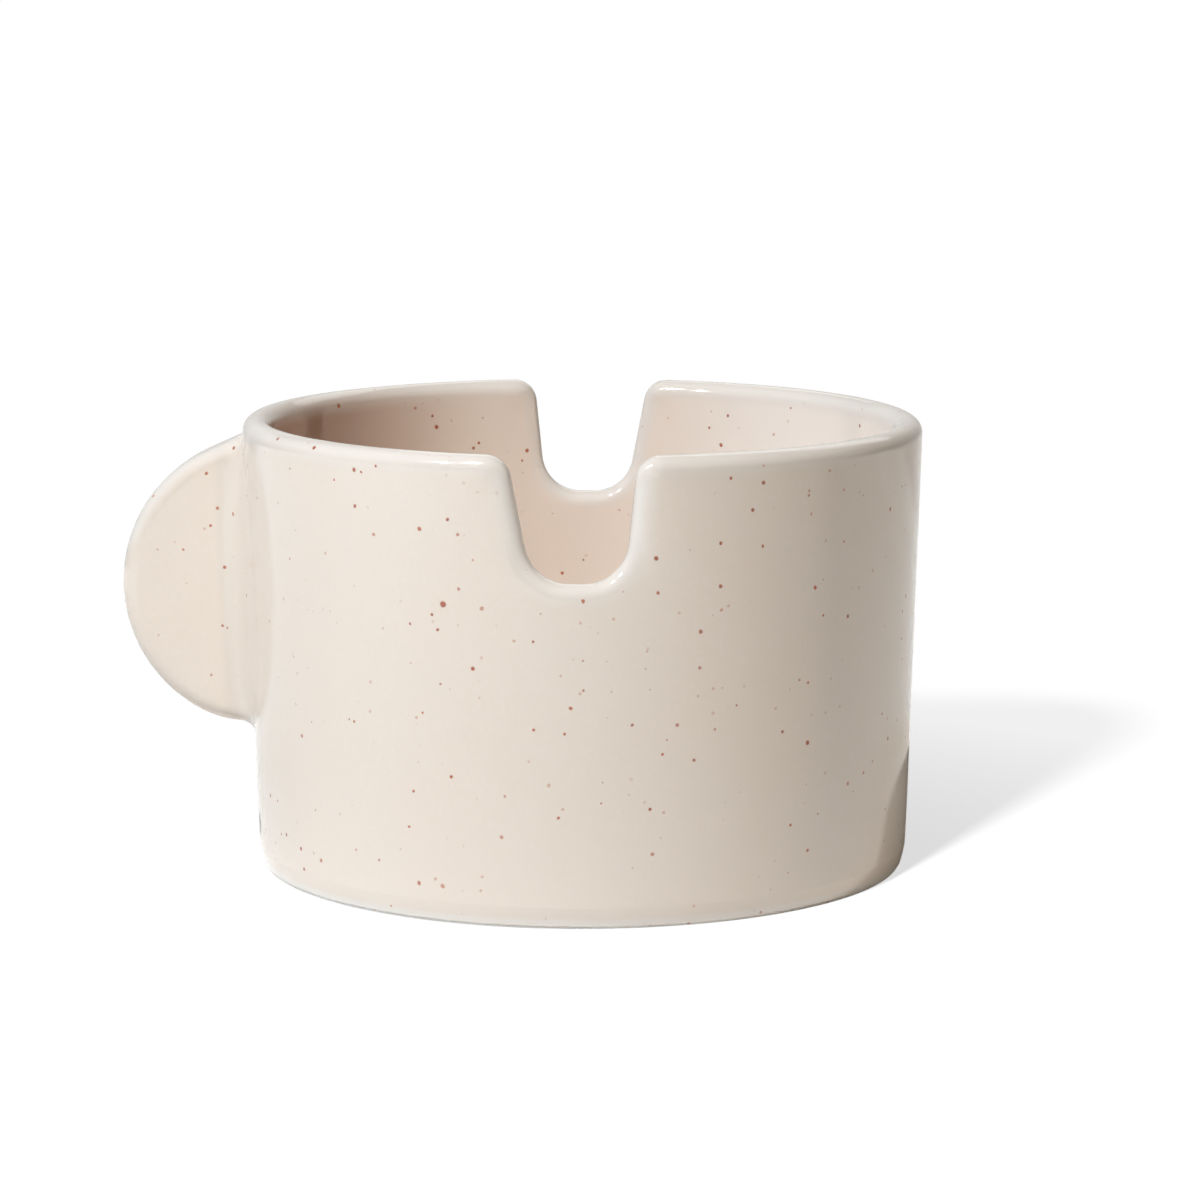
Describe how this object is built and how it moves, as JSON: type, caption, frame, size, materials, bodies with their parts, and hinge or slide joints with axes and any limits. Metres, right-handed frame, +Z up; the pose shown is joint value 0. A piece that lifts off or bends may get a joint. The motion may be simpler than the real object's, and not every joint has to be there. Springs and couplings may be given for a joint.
{
  "type": "ceramic brush pot",
  "caption": "Low round ceramic brush pot with opposed slanting notches in its lip for resting a brush, and a solid half-round side handle.",
  "frame": {"origin": "centre of the flat underside, on the pot's axis, at table level", "axes": "+Z up along the pot's axis, -X towards the handle, the notches facing -Y (front) and +Y (back)"},
  "size_m": [0.1142, 0.0958, 0.0642],
  "materials": {
    "speckled_glaze": "glossy cream glaze with fine rust-brown iron specks",
    "bare_stoneware": "matt unglazed clay on the underside and the narrow foot edge; the floor inside and the side above the edge are glazed like the wall"
  },
  "bodies": {
    "root": {"wall": "speckled_glaze", "base_slab": "bare_stoneware", "handle": "speckled_glaze"}
  },
  "joints": []
}
